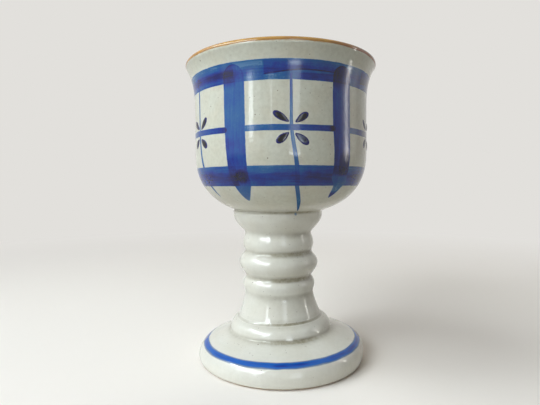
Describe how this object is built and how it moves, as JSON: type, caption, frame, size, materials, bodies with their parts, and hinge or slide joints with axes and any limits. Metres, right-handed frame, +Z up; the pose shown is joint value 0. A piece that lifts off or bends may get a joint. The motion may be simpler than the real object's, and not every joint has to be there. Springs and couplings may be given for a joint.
{
  "type": "goblet",
  "caption": "Hand-thrown stoneware goblet: deep round bowl with flared lip, beaded hollow stem and wide moulded foot, cream glaze with blue check brushwork and a honey-coloured lip.",
  "frame": {"origin": "centre of the resting ring under the foot, on the wheel axis, in the plane the goblet stands on", "axes": "+Z up along the wheel axis towards the lip, -Y towards the picture's camera, +X to the right as seen from there"},
  "size_m": [0.0954, 0.0954, 0.1485],
  "materials": {
    "cream_glaze": "gloss",
    "glazed_slip": "satin",
    "honey_glaze": "gloss"
  },
  "bodies": {
    "root": {"bowl": "cream_glaze", "stem": "cream_glaze", "foot": "cream_glaze", "bowl_joint_slip": "glazed_slip", "foot_joint_slip": "glazed_slip", "lip_glaze": "honey_glaze"}
  },
  "joints": []
}
